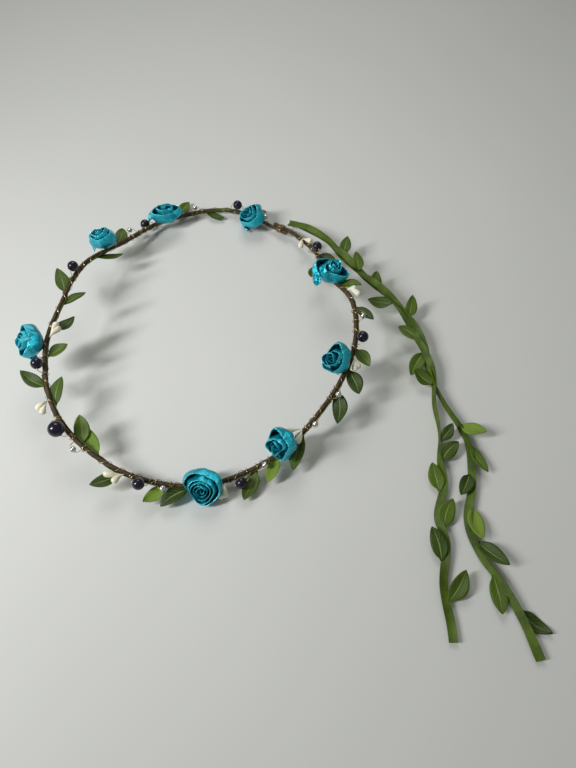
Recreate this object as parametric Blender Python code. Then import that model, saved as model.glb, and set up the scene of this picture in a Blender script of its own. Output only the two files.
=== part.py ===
"""A flower crown: a hand-bent wire loop bound in floral tape, with a leaf vine along it,
satin ribbon roses, pearls and beads on fine gold wire, stamen buds, and two vine tails.

It lies on a table with +Z up and +Y to the crown's back. The loop rises at its left and
right, and rests at its front and back. Sizes are in millimetres, and each is written once.
"""

import math

import bmesh
import bpy
from mathutils import Matrix, Vector, geometry

MM = 0.001

# The loop: its outside sizes, and how far its sides rise above its front and back
LOOP_WIDTH = 164.0
LOOP_LENGTH = 198.0
LOOP_RISE = 24.0
# Where the wire was bent by hand, every 22.5 degrees from the right and anticlockwise:
# shares of the half width, of the half length and of the rise
BENDS = (
    (0.98, 0.00, 0.90), (0.83, 0.28, 0.58), (0.72, 0.60, 0.20), (0.42, 0.85, 0.02),
    (0.00, 1.00, 0.00), (-0.44, 0.88, 0.06), (-0.72, 0.59, 0.38), (-0.90, 0.31, 0.84),
    (-0.96, 0.00, 1.00), (-1.00, -0.34, 0.90), (-0.85, -0.70, 0.62), (-0.47, -0.94, 0.28),
    (0.00, -1.00, 0.02), (0.44, -0.87, 0.16), (0.76, -0.63, 0.55), (0.96, -0.33, 0.85),
)
LOOP_PLACE = (3.4, 2.0)  # the loop's middle, from the middle of the whole crown's footprint

# The stem: a core wire in a sheath of floral tape, its two ends bound side by side
CORE_DIAMETER = 1.0
TAPE_BORE = 1.7
TAPE_WALL = 0.45
JOIN_TURN = 63.0
JOIN_OVERLAP = 14.0
JOIN_BLEND = 12.0
CLEARANCE = 0.3

# The stem radius that the trimmings' places below were chosen for: a thicker or thinner stem
# moves them out or in by the difference
PLACES_FOR = 1.3

# The die-cut vine along the stem's underside, and its leaves
VINE_WIDTH = 2.4
VINE_THICKNESS = 0.35
LEAF_NECK = 2.2
# Leaf outline: share of its length, share of its width
LEAF_SHAPE = ((0.22, 0.42), (0.45, 0.95), (0.68, 0.88), (0.9, 0.4), (1.0, 0.06))
# Turn round the loop, then the tip's place from the root (out, along, up), and the width
VINE_LEAVES = (
    (203, -10, -5, 0, 7), (192, -9, -8, 0, 7), (175, 10, -16, 1, 8), (149, -9, -11, 1, 8),
    (136, 10, -14, 1, 8), (106, 11, -10, 0, 7), (95.5, -7, -10, 0, 6), (79, 8, -10, 0, 6),
    (38.5, 8, -9, 0, 6), (30, -8, -10, 0, 7), (13, 10, -7, 0, 7), (357, 8, -9, 0, 6),
    (338.5, 9, -7, 0, 7), (330, 10, -9, 0, 8), (322, 9, -14, 0, 8), (304, 9, -15, 0, 8),
    (294, 8, -10, 0, 7), (286.8, 11, -11, 0, 8), (267, 9, -12, 0, 8), (260.8, 9, -8, 0, 7),
    (248, 11, -9, 0, 7), (234.5, -9, -11, 1, 8), (240, -8, -14, 0, 7), (220, -8, -13, 0, 7),
    (213, 11, -11, 0, 7), (181, -9, -9, 0, 6),
)

# Fine gold wire that binds the stem's ends and carries the pearls and beads
WIRE_DIAMETER = 0.5
COIL_PITCH = 1.2
COIL_GAP = 0.5
COIL_STEPS = 8
JOIN_TURNS = 3.0

# Satin roses: turn, (out, along, up) of the centre, azimuth and elevation it faces, diameter
ROSE_DEPTH = 12.0
REST_FLAT = 0.8  # how deep the flat is that the front rose rests on
ROSES = (
    (199, (7.8, 0, 2.0), 208, 37, 17.5),
    (143, (2.8, 0, 6.5), 175, 71, 17.0),
    (113, (0.0, 0, 7.6), 180, 85, 19.0),
    (75, (-5.6, 0, 6.2), 205, 54, 17.0),
    (18.5, (-1.6, 0, 7.4), 7, 65, 19.5),
    (331.5, (-6.0, 0, 5.0), 213, 41, 15.5),
    (297, (-0.9, 0, 7.4), 227, 32, 16.0),
    (272, (5.7, 0, 5.0), 265, 29, 19.5),
)
FRONT_ROSE = 8  # the rose that the crown's front rests on

# Pearls: turn, (out, along, up) of the centre, diameter. One beside a leaf or another trimming
# has that one's turn and is placed along from it, so that they stay clear on a smaller loop
PEARL_BORE = 1.5
PEARLS = (
    (228.4, (3.6, 0, 4.8), 8.0), (203, (2.6, 7.2, 4.4), 6.0), (164.6, (0.8, 0, 4.8), 6.0),
    (113, (5.6, 11.1, -0.8), 6.0), (83.5, (2.2, 0, 4.3), 6.0), (39.5, (0.9, 0, 4.8), 6.0),
    (343.0, (3.7, 0, 3.4), 6.0), (281.6, (5.2, 1, 2.0), 6.0), (254.6, (3.9, 0, 3.2), 6.0),
)

# Silver beads: turn, (out, along, up) of the centre
BEAD_DIAMETER = 3.2
BEAD_BORE = 1.2
BEADS = (
    (228.4, (4.2, 11.5, 0.3)), (260.8, (3.2, 0, 2.0)), (290.2, (2.4, 0, 2.8)), (309.4, (3.0, 0, 2.2)),
    (321.2, (3.2, 0, 2.2)), (357, (4.2, -5.8, 0.0)), (72.0, (3.6, 0, 1.0)), (127.5, (4.8, 0, 1.6)),
    (100.0, (3.6, 0, 1.0)),
)

# Double-headed stamens: turn, then each head's tip (out, along, up) from the fold at the stem
BUD_DIAMETER = 3.2
THREAD_DIAMETER = 0.6
STAMENS = (
    (218.5, (7.6, 1.6, 0.6), (5.4, 6.2, 0.6)),
    (250, (7.2, -2.4, 0.2), (4.6, -7.4, 0.4)),
    (278.2, (7.4, 0.8, -1.2), (7.2, -3.2, -1.4)),
    (305.2, (-7.4, -1.6, 2.0), (-5.6, -5.8, 2.0)),
    (336, (7.0, -3.6, -0.2), (4.0, -7.6, 0.2)),
    (7.5, (6.8, -2.6, 1.6), (4.2, -7.6, 1.0)),
    (51, (-5.2, -6.4, 0.4), (-7.8, -2.2, 0.6)),
    (197, (-3.8, -8.4, 0.2), (-7.2, -4.6, -0.6)),
)

# The two tails, as vine that lies free on the table. Each route is a line of (x, y, height)
TAIL_WIDTH = 4.6
TAIL_THICKNESS = 0.4
TAIL_PIVOT = (43.0, 86.0)
ROOT_ROUTE = (
    (45.5, 85.5, 4), (56, 78, 7), (72, 60, 10), (86, 37, 12), (97, 24, 12), (112, 6, 9),
    (121, -17, 7), (124, -38, 5),
)
ROOT_ENDS = ((123, -53, 4), (129, -53, 4))
ROUTE_1 = (
    (123, -54.2, 4.2), (124, -68, 2.5), (122, -84, 2.5), (122, -98, 2.5), (117, -114, 2.5),
    (119, -127, 2.5), (115, -146, 2.5), (116, -162, 2), (116, -170, 2),
)
ROUTE_2 = (
    (129.5, -54.2, 3.4), (135, -66, 3), (138, -78, 2.5), (136, -98, 2.5), (131, -116, 2.5),
    (134, -132, 2.5), (142, -146, 2.5), (148, -161, 2), (152, -177, 2),
)
# Leaves on them: distance along the route, then the tip (right, along, up) and the width
ROOT_LEAVES_1 = ((50, -9, -10, 4, 7), (68, -6, -11, 4, 7), (110, -9, -12, 3, 7), (155, 10, -9, 2, 8))
ROOT_LEAVES_2 = ((98, 9, -12, -2, 8), (126, 8, -13, -1, 8), (134, 11, 12, -1, 8), (84, -8, -10, 0, 7))
LEAVES_1 = (
    (22, -5, -9, 6, 6), (33, -9, -10, 3, 8), (50, 7, -14, 1, 8), (69, -9, -12, 3, 8),
    (85, 7, -15, 2, 8), (103, -10, -13, 3, 8),
)
LEAVES_2 = (
    (15, -8, 9, 6, 8), (27, -5, 15, 2, 6), (43, 5, 12, 2, 7), (60, -6, 15, 4, 8),
    (78, -8, 14, 5, 8), (94, 9, 14, 1, 8), (112, -8, 12, 0, 7),
)

TAPE_RADIUS = TAPE_BORE / 2 + TAPE_WALL
VINE_DEPTH = TAPE_RADIUS + CLEARANCE + VINE_THICKNESS / 2
COIL_RADIUS = (
    math.hypot(VINE_WIDTH / 2, VINE_DEPTH + VINE_THICKNESS / 2) + COIL_GAP + WIRE_DIAMETER / 2
)
REST_HEIGHT = COIL_RADIUS + WIRE_DIAMETER / 2  # the stem's, where it rests on its gold wire


class Line:
    """A smooth line through its knots, read by distance along it."""

    STEPS = 12

    def __init__(self, knots, closed=False):
        self.closed = closed
        self.points = []
        for i in range(len(knots) if closed else len(knots) - 1):
            a, b = knots[i], knots[(i + 1) % len(knots)]
            before = knots[i - 1] if closed or i else a
            after = knots[(i + 2) % len(knots)] if closed or i + 2 < len(knots) else b
            self.points += geometry.interpolate_bezier(
                a, a + (b - before) / 6, b - (after - a) / 6, b, self.STEPS + 1
            )[:-1]
        self.points.append(knots[0] if closed else knots[-1])
        self.marks = [0.0]
        for a, b in zip(self.points, self.points[1:]):
            self.marks.append(self.marks[-1] + (b - a).length)
        self.length = self.marks[-1]

    def point(self, distance):
        if self.closed:
            distance %= self.length
        i = next((k for k, mark in enumerate(self.marks[1:]) if mark >= distance), len(self.marks) - 2)
        share = (distance - self.marks[i]) / (self.marks[i + 1] - self.marks[i])
        return self.points[i].lerp(self.points[i + 1], share)

    def frame(self, distance):
        """Axes at a distance: X level and to the right of travel, Y along, Z up from the line."""
        heading = (self.point(distance + 1) - self.point(distance - 1)).normalized()
        right = heading.cross(Vector((0, 0, 1))).normalized()
        axes = Matrix((right, heading, right.cross(heading))).transposed().to_4x4()
        return Matrix.Translation(self.point(distance)) @ axes


LOOP = Line(
    [
        Vector((x * LOOP_WIDTH / 2, y * LOOP_LENGTH / 2, REST_HEIGHT + z * LOOP_RISE))
        for x, y, z in BENDS
    ],
    closed=True,
)


def distance_at(turn):
    """How far round the loop a turn in degrees is."""
    knot = turn % 360 / 360 * len(BENDS) * Line.STEPS
    i = int(knot)
    return LOOP.marks[i] + (knot - i) * (LOOP.marks[i + 1] - LOOP.marks[i])


def station(turn, along=0.0):
    return LOOP.frame(distance_at(turn) + along)


def off_stem(centre):
    """A trimming's centre (out, along, up), kept as far off the stem's surface as chosen."""
    out, along, up = centre
    share = 1 + (TAPE_RADIUS - PLACES_FOR) / math.hypot(out, up)
    return Vector((out * share, along, up * share))


def material(name, colour, roughness, metallic=0.0):
    made = bpy.data.materials.new(name)
    made.use_nodes = True
    shader = made.node_tree.nodes["Principled BSDF"]
    shader.inputs["Base Color"].default_value = (*colour, 1)
    shader.inputs["Roughness"].default_value = roughness
    shader.inputs["Metallic"].default_value = metallic
    made.diffuse_color = (*colour, 1)
    return made


def add(name, data, finish, place=None):
    """Puts a piece in the scene, in metres, with its origin at `place`."""
    obj = bpy.data.objects.new(name, data)
    bpy.context.scene.collection.objects.link(obj)
    obj.data.materials.append(finish)
    place = place or Matrix()
    obj.location = (place.translation + Vector((*LOOP_PLACE, 0))) * MM
    obj.rotation_euler = place.to_euler()
    return obj


def add_mesh(name, bm, finish, place=None):
    bmesh.ops.recalc_face_normals(bm, faces=bm.faces)
    if place is not None:
        bmesh.ops.transform(bm, matrix=place.inverted(), verts=bm.verts)
    bmesh.ops.scale(bm, vec=(MM, MM, MM), verts=bm.verts)
    mesh = bpy.data.meshes.new(name)
    bm.to_mesh(mesh)
    bm.free()
    mesh.shade_smooth()
    mesh.set_sharp_from_angle(angle=math.radians(40))
    return add(name, mesh, finish, place)


def add_wire(name, points, diameter, finish, radii=None, sides=1, caps=True):
    """A round wire through the points, thicker or thinner where `radii` says."""
    curve = bpy.data.curves.new(name, "CURVE")
    curve.dimensions = "3D"
    curve.bevel_depth = diameter / 2 * MM
    curve.bevel_resolution = sides
    curve.use_fill_caps = caps
    spline = curve.splines.new("POLY")
    spline.points.add(len(points) - 1)
    for i, (control, point) in enumerate(zip(spline.points, points)):
        control.co = (*(point * MM), 1)
        control.radius = radii[i] if radii else 1.0
    return add(name, curve, finish)


def add_turned(name, profile, steps, place, finish, oval=1.0):
    """Spins a profile of (radius, height) about the place's Z axis. A closed one leaves a bore."""
    bm = bmesh.new()
    verts = [bm.verts.new((r, 0, z)) for r, z in profile]
    edges = [bm.edges.new(pair) for pair in zip(verts, verts[1:])]
    if profile[0][0] > 0:
        edges.append(bm.edges.new((verts[-1], verts[0])))
    bmesh.ops.spin(
        bm, geom=verts + edges, cent=(0, 0, 0), axis=(0, 0, 1), angle=math.tau, steps=steps, use_merge=True
    )
    bmesh.ops.remove_doubles(bm, verts=bm.verts, dist=1e-4)
    bmesh.ops.scale(bm, vec=(1, oval, 1), verts=bm.verts)
    bmesh.ops.transform(bm, matrix=place, verts=bm.verts)
    return add_mesh(name, bm, finish, place)


def cut(obj, cutter, name):
    modifier = obj.modifiers.new(name, "BOOLEAN")
    modifier.object = cutter


def carry(bm, face, corners):
    """Extrudes a face so that its corners land on the given points."""
    moved = bmesh.ops.extrude_discrete_faces(bm, faces=[face])["faces"][0]
    for vert, corner in zip(moved.verts, corners):
        vert.co = corner
    return moved


def side_face(face, first, second):
    """The face beside `face` that holds these two of its corners."""
    a, b = face.verts[first], face.verts[second]
    return next(other for other in a.link_faces if other is not face and b in other.verts)


def grow_leaf(bm, face, place, tip, width, thickness):
    """Extrudes a leaf out of a ribbon's edge. The tip is (out, along, up) from the root."""
    root = face.calc_center_median()
    inverse = place.inverted()
    corners = [inverse @ vert.co for vert in face.verts]
    middle = inverse @ root
    signs = [(math.copysign(1, c.y - middle.y), math.copysign(1, c.z - middle.z)) for c in corners]
    end = root + place.to_3x3() @ Vector(tip)
    knee = root + place.to_3x3() @ Vector((tip[0] * 0.95, tip[1] * 0.12, tip[2] * 0.3))
    heading = (end - root).normalized()
    across = heading.cross(Vector((0, 0, 1))).normalized()
    if across.dot(place.to_3x3().col[1]) < 0:
        across.negate()
    normal = across.cross(heading).normalized()
    if normal.z < 0:
        normal.negate()
    for share, spread in LEAF_SHAPE:
        centre = root * (1 - share) ** 2 + knee * 2 * share * (1 - share) + end * share**2
        face = carry(
            bm,
            face,
            [centre + across * a * width * spread / 2 + normal * u * thickness / 2 for a, u in signs],
        )


def add_ribbon(name, frame_at, start, end, width, thickness, leaves, finish, place=None, tapered=()):
    """A flat ribbon from start to end of a line, with leaves grown out of its edges."""
    stops = [start, end]
    for at, *_ in leaves:
        stops += [at - LEAF_NECK / 2, at + LEAF_NECK / 2]
    stops.sort()
    filled = [start]
    for a, b in zip(stops, stops[1:]):
        parts = max(1, math.ceil((b - a) / 9.0))
        filled += [a + (b - a) * (k + 1) / parts for k in range(parts)]

    def corners(at):
        half = width / 2 * (0.55 if at in tapered else 1.0)
        return [
            frame_at(at) @ Vector((x, 0, z))
            for x, z in (
                (-half, -thickness / 2),
                (half, -thickness / 2),
                (half, thickness / 2),
                (-half, thickness / 2),
            )
        ]

    bm = bmesh.new()
    face = bm.faces.new([bm.verts.new(corner) for corner in corners(start)])
    buds = []
    for a, b in zip(filled, filled[1:]):
        face = carry(bm, face, corners(b))
        for at, out, along, up, leaf_width in leaves:
            if a < at < b:
                side = side_face(face, 1, 2) if out > 0 else side_face(face, 3, 0)
                buds.append((side, frame_at(at), (out, along, up), leaf_width))
    for side, frame, tip, leaf_width in buds:
        grow_leaf(bm, side, frame, tip, leaf_width, thickness)
    bmesh.ops.holes_fill(bm, edges=[edge for edge in bm.edges if edge.is_boundary])
    return add_mesh(name, bm, finish, place)


for obj in list(bpy.data.objects):
    bpy.data.objects.remove(obj)

TAPE = material("floral_tape", (0.16, 0.10, 0.045), 0.8)
STEEL = material("core_wire", (0.35, 0.36, 0.36), 0.4, 1.0)
GOLD = material("gold_wire", (0.83, 0.62, 0.30), 0.3, 1.0)
LEAF = material("leaf_satin", (0.10, 0.20, 0.035), 0.55)
SATIN = material("teal_satin", (0.0, 0.42, 0.56), 0.35)
PEARL = material("pearl_purple", (0.045, 0.025, 0.10), 0.2)
SILVER = material("silver_bead", (0.75, 0.75, 0.76), 0.2, 1.0)
CREAM = material("stamen_cream", (0.86, 0.82, 0.70), 0.5)


# Core wire and tape: once round the loop, and its ends side by side where they are bound
def stem_frame(distance):
    """Axes on the stem's own centre line, measured from the middle of the join."""
    beside = TAPE_RADIUS + CLEARANCE / 2
    to_end = min(distance + JOIN_OVERLAP / 2, LOOP.length + JOIN_OVERLAP / 2 - distance)
    share = max(0.0, min(1.0, 1 - (to_end - JOIN_OVERLAP) / JOIN_BLEND))
    side = beside * share * share * (3 - 2 * share)
    if distance < LOOP.length / 2:
        side = -side
    return station(JOIN_TURN, distance) @ Matrix.Translation((side, 0, 0))


stem_start, stem_end = -JOIN_OVERLAP / 2, LOOP.length + JOIN_OVERLAP / 2
stem_steps = 66
stem_line = [
    stem_frame(stem_start + (stem_end - stem_start) * k / stem_steps).translation
    for k in range(stem_steps + 1)
]
add_wire("core_wire", stem_line, CORE_DIAMETER, STEEL, sides=0)
tape = add_wire("stem_tape", stem_line, 2 * TAPE_RADIUS, TAPE, caps=False)
sheath = tape.modifiers.new("wall", "SOLIDIFY")
sheath.thickness = TAPE_WALL * MM
sheath.offset = -1

# Gold wire wound round both ends of the stem
turns = int(JOIN_TURNS * 10)
join_out = 2 * TAPE_RADIUS + CLEARANCE / 2 + CLEARANCE + WIRE_DIAMETER / 2
join_up = TAPE_RADIUS + CLEARANCE + WIRE_DIAMETER
join_coil = []
for k in range(turns + 1):
    angle = math.tau * k / 10
    join_coil.append(
        station(JOIN_TURN, (k / turns - 0.5) * JOIN_TURNS * COIL_PITCH)
        @ Vector((join_out * math.cos(angle), 0, join_up * math.sin(angle)))
    )
add_wire("end_binding", join_coil, WIRE_DIAMETER, GOLD, sides=0)

# The leaf vine, along the stem's underside from one side of the join to the other
join_at = distance_at(JOIN_TURN)
vine_leaves = [
    ((distance_at(turn) - join_at) % LOOP.length, *rest) for turn, *rest in VINE_LEAVES
]
add_ribbon(
    "leaf_vine",
    lambda at: stem_frame(at) @ Matrix.Translation((0, 0, -VINE_DEPTH)),
    JOIN_OVERLAP,
    LOOP.length - JOIN_OVERLAP,
    VINE_WIDTH,
    VINE_THICKNESS,
    vine_leaves,
    LEAF,
)

# Roses, each rolled up from a ribbon and tied down on the stem, which presses into its base
channel_curve = add_wire(
    "channel_guide", stem_line, 2 * (COIL_RADIUS + WIRE_DIAMETER / 2 + CLEARANCE), SATIN
)
channel = add("stem_channel", bpy.data.meshes.new_from_object(channel_curve), SATIN)
bpy.data.objects.remove(channel_curve)
bm = bmesh.new()
bmesh.ops.create_cube(bm, size=1)
bmesh.ops.scale(bm, vec=(2 * LOOP_WIDTH, 2 * LOOP_LENGTH, LOOP_RISE), verts=bm.verts)
bmesh.ops.translate(bm, vec=(0, 0, -LOOP_RISE / 2), verts=bm.verts)
table = add_mesh("table_cutter", bm, SATIN)
for cutter in (channel, table):
    cutter.hide_render = True
    cutter.display_type = "WIRE"
for number, (turn, centre, azimuth, elevation, diameter) in enumerate(ROSES, 1):
    azimuth, elevation = math.radians(azimuth), math.radians(elevation)
    facing = Vector(
        (math.cos(azimuth) * math.cos(elevation), math.sin(azimuth) * math.cos(elevation), math.sin(elevation))
    )
    place = Matrix.Translation(station(turn) @ off_stem(centre)) @ facing.to_track_quat("Z", "Y").to_matrix().to_4x4()
    r, h = diameter / 2, ROSE_DEPTH / 2
    profile = (
        (0, -h), (0.5 * r, -0.96 * h), (0.82 * r, -0.5 * h), (r, 0.15 * h),
        (0.94 * r, 0.62 * h), (0.72 * r, 0.95 * h), (0.35 * r, h), (0, 0.8 * h),
    )
    if number == FRONT_ROSE:
        lowest = max(far * math.cos(elevation) - high * math.sin(elevation) for far, high in profile)
        place.translation.z = lowest - REST_FLAT
    rose = add_turned(f"rose_{number}", profile, 14, place, SATIN)
    cut(rose, channel, "stem_groove")
    if number == FRONT_ROSE:
        cut(rose, table, "rest_face")


def bored_ball(radius, bore, rings):
    """The profile of a ball with a hole through it, down its outer side."""
    edge = math.asin(bore / 2 / radius)
    return [
        (radius * math.sin(a), radius * math.cos(a))
        for a in (edge + (math.pi - 2 * edge) * k / rings for k in range(rings + 1))
    ]


def bead_frame(turn, along):
    return stem_frame((distance_at(turn) - join_at) % LOOP.length + along)


def add_bead_wire(name, turn, centre, radius):
    """Fine wire: once round the stem, through the bead, and once round the stem again."""
    out, along, up = off_stem(centre)
    reach, aim = math.hypot(out, up), math.atan2(up, out)
    lift = radius + 2 * WIRE_DIAMETER + CLEARANCE
    path = []
    for k in range(COIL_STEPS + 1):
        back = 1 - k / COIL_STEPS
        path.append((COIL_RADIUS, aim - math.tau * back, -lift - COIL_PITCH * back))
    path += [(reach, aim, -lift + WIRE_DIAMETER), (reach, aim, lift - WIRE_DIAMETER)]
    for k in range(COIL_STEPS + 1):
        on = k / COIL_STEPS
        path.append((COIL_RADIUS, aim + math.tau * on, lift + COIL_PITCH * on))
    at = (distance_at(turn) - join_at) % LOOP.length + along
    points = [
        stem_frame(at + step) @ Vector((far * math.cos(angle), 0, far * math.sin(angle)))
        if far == COIL_RADIUS
        else bead_frame(turn, along) @ Vector((far * math.cos(angle), step, far * math.sin(angle)))
        for far, angle, step in path
    ]
    add_wire(name, points, WIRE_DIAMETER, GOLD, sides=0)


# Pearls and silver beads, each threaded on its own gold wire beside the stem
for number, (turn, centre, diameter) in enumerate(PEARLS, 1):
    out, along, up = off_stem(centre)
    place = bead_frame(turn, along) @ Matrix.Translation((out, 0, up)) @ Matrix.Rotation(-math.pi / 2, 4, "X")
    add_turned(f"pearl_{number}", bored_ball(diameter / 2, PEARL_BORE, 7), 12, place, PEARL)
    add_bead_wire(f"pearl_wire_{number}", turn, centre, diameter / 2)
for number, (turn, centre) in enumerate(BEADS, 1):
    out, along, up = off_stem(centre)
    place = bead_frame(turn, along) @ Matrix.Translation((out, 0, up)) @ Matrix.Rotation(-math.pi / 2, 4, "X")
    add_turned(f"silver_bead_{number}", bored_ball(BEAD_DIAMETER / 2, BEAD_BORE, 4), 10, place, SILVER)
    add_bead_wire(f"bead_wire_{number}", turn, centre, BEAD_DIAMETER / 2)

# Stamens: a thread folded against the stem, with a bud at each end. The fold is a little wider than the thread
THREAD = THREAD_DIAMETER / BUD_DIAMETER
ARM = ((0.0, 0.35), (0.08, 0.75), (0.22, 1.0), (0.45, 0.85), (0.66, THREAD), (1.0, THREAD))
for number, (turn, *tips) in enumerate(STAMENS, 1):
    near = math.copysign(TAPE_RADIUS + CLEARANCE + THREAD_DIAMETER / 2, tips[0][0])
    fold = Vector((near, 0, 0.4))
    aside = Vector((0, math.copysign(0.65 * THREAD_DIAMETER, tips[0][1] - tips[1][1]), 0))
    path, radii = [], []
    for tip, side, arm in zip(tips, (aside, -aside), (ARM, ARM[::-1])):
        path += [station(turn) @ (fold + Vector(tip).lerp(side, share)) for share, _ in arm]
        radii += [radius for _, radius in arm]
    add_wire(f"stamen_{number}", path, BUD_DIAMETER, CREAM, radii=radii)

# The tails: their roots leave the join side by side, then each lies free
pivot = Matrix.Translation((*TAIL_PIVOT, REST_HEIGHT))
for number, leaves in ((1, ROOT_LEAVES_1), (2, ROOT_LEAVES_2)):
    root_line = Line([Vector(knot) for knot in (*ROOT_ROUTE, ROOT_ENDS[number - 1])])
    above = (TAIL_THICKNESS / 2 + CLEARANCE) * (1 if number == 1 else -1)
    add_ribbon(
        f"tail_{number}_root",
        lambda at, line=root_line, above=above: line.frame(at) @ Matrix.Translation((0, 0, above)),
        0.0,
        root_line.length,
        TAIL_WIDTH,
        TAIL_THICKNESS,
        leaves,
        LEAF,
        pivot,
        tapered=(root_line.length,),
    )
for number, (route, leaves) in enumerate(((ROUTE_1, LEAVES_1), (ROUTE_2, LEAVES_2)), 1):
    line = Line([Vector(knot) for knot in route])
    add_ribbon(
        f"tail_{number}",
        line.frame,
        0.0,
        line.length,
        TAIL_WIDTH,
        TAIL_THICKNESS,
        leaves,
        LEAF,
        Matrix.Translation(route[0]),
        tapered=(0.0,),
    )
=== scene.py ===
"""The flower crown's looks, in the order in which such a crown is made: the taped wire loop, the
leaf vine and the gold wire wound round it, the ribbon roses, the pearls, beads and stamens, and
the two vine tails. Sizes are in millimetres, from the middle of the loop.
"""

import math
import random

import bmesh
import bpy
from mathutils import Matrix, Vector, geometry, noise


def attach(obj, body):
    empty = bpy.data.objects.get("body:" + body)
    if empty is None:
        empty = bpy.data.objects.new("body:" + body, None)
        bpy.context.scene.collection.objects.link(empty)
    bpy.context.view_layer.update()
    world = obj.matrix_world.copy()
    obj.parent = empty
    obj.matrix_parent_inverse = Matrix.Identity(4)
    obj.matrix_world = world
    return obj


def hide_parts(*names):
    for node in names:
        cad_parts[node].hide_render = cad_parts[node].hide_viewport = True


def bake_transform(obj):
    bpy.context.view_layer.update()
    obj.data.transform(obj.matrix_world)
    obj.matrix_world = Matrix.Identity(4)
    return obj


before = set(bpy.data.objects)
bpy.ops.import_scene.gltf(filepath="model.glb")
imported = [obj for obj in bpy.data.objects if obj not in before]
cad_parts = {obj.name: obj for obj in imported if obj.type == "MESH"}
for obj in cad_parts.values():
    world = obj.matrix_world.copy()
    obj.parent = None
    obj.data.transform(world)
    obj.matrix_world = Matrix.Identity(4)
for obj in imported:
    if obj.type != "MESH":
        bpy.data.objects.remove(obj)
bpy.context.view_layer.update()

# --- Core wire -----------------------------------------------------------------------------
# A steel florist's wire, bent by hand into an oval that rises at its left and right. Its two
# ends lie side by side at the back, and show as cut ends past the tape.
MM = 0.001
LOOP_WIDTH, LOOP_LENGTH, LOOP_RISE = 164.0, 198.0, 24.0
REST_HEIGHT = 3.292
# Points round the loop: shares of its half width, half length and rise, a turn of 22.5 degrees each
BENDS = (
    (0.98, 0.00, 0.90), (0.83, 0.28, 0.58), (0.72, 0.60, 0.20), (0.42, 0.85, 0.02),
    (0.00, 1.00, 0.00), (-0.44, 0.88, 0.06), (-0.72, 0.59, 0.38), (-0.90, 0.31, 0.84),
    (-0.96, 0.00, 1.00), (-1.00, -0.34, 0.90), (-0.85, -0.70, 0.62), (-0.47, -0.94, 0.28),
    (0.00, -1.00, 0.02), (0.44, -0.87, 0.16), (0.76, -0.63, 0.55), (0.96, -0.33, 0.85),
)
LOOP_PLACE = Vector((3.4, 2.0, 0.0))  # the loop's middle, from the middle of the footprint
# The join: its turn, how far the two ends overlap, and how far they take to draw apart
JOIN_TURN, JOIN_OVERLAP, JOIN_BLEND = 63.0, 14.0, 12.0
CORE_RADIUS, TAPE_RADIUS, CLEARANCE = 0.5, 1.3, 0.3
UP = Vector((0, 0, 1))


class Line:
    """A smooth line through its knots, read by distance along it."""

    STEPS = 12

    def __init__(self, knots, closed=False):
        self.closed = closed
        self.points = []
        for i in range(len(knots) if closed else len(knots) - 1):
            a, b = knots[i], knots[(i + 1) % len(knots)]
            before = knots[i - 1] if closed or i else a
            after = knots[(i + 2) % len(knots)] if closed or i + 2 < len(knots) else b
            self.points += geometry.interpolate_bezier(
                a, a + (b - before) / 6, b - (after - a) / 6, b, self.STEPS + 1
            )[:-1]
        self.points.append(knots[0] if closed else knots[-1])
        self.marks = [0.0]
        for a, b in zip(self.points, self.points[1:]):
            self.marks.append(self.marks[-1] + (b - a).length)
        self.length = self.marks[-1]

    def point(self, distance):
        if self.closed:
            distance %= self.length
        i = next((k for k, mark in enumerate(self.marks[1:]) if mark >= distance), len(self.marks) - 2)
        share = (distance - self.marks[i]) / (self.marks[i + 1] - self.marks[i])
        return self.points[i].lerp(self.points[i + 1], share)

    def frame(self, distance):
        """Axes at a distance: X level and to the right of travel, Y along, Z up from the line."""
        heading = (self.point(distance + 1) - self.point(distance - 1)).normalized()
        right = heading.cross(UP).normalized()
        axes = Matrix((right, heading, right.cross(heading))).transposed().to_4x4()
        return Matrix.Translation(self.point(distance)) @ axes


LOOP = Line(
    [
        Vector((x * LOOP_WIDTH / 2, y * LOOP_LENGTH / 2, REST_HEIGHT + z * LOOP_RISE))
        for x, y, z in BENDS
    ],
    closed=True,
)


def distance_at(turn):
    """How far round the loop a turn in degrees is."""
    knot = turn % 360 / 360 * len(BENDS) * Line.STEPS
    i = int(knot)
    return LOOP.marks[i] + (knot - i) * (LOOP.marks[i + 1] - LOOP.marks[i])


def station(turn, along=0.0):
    """Axes on the loop at a turn: X outwards, Y on round the loop, Z up."""
    return LOOP.frame(distance_at(turn) + along)


def ease(value, low, high):
    """0 below low, 1 above high, and smooth between them."""
    share = max(0.0, min(1.0, (value - low) / (high - low)))
    return share * share * (3 - 2 * share)


def stem_frame(distance):
    """Axes on the stem's own centre line, measured from the middle of the join."""
    to_end = min(distance + JOIN_OVERLAP / 2, LOOP.length + JOIN_OVERLAP / 2 - distance)
    side = (TAPE_RADIUS + CLEARANCE / 2) * (1 - ease(to_end, JOIN_OVERLAP, JOIN_OVERLAP + JOIN_BLEND))
    if distance < LOOP.length / 2:
        side = -side
    return station(JOIN_TURN, distance) @ Matrix.Translation((side, 0, 0))


JOIN_AT = distance_at(JOIN_TURN)


def from_join(turn, along=0.0):
    """How far a turn is round the stem from the middle of the join."""
    return (distance_at(turn) - JOIN_AT) % LOOP.length + along


def draw_out(bm, rings, layers=(), values=()):
    """Extrudes an outline through each ring of points. `values` gives each ring's layer values."""
    face = bm.faces.new([bm.verts.new(point) for point in rings[0]])
    for i, ring in enumerate(rings):
        if i:
            face = bmesh.ops.extrude_discrete_faces(bm, faces=[face])["faces"][0]
        for k, (vert, point) in enumerate(zip(face.verts, ring)):
            vert.co = point
            for layer, value in zip(layers, values):
                vert[layer] = value[i][k] if isinstance(value[i], (list, tuple)) else value[i]
    return face


def close_ends(bm):
    """Caps the open end that a drawn-out section leaves."""
    bmesh.ops.holes_fill(bm, edges=[edge for edge in bm.edges if edge.is_boundary])


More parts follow.
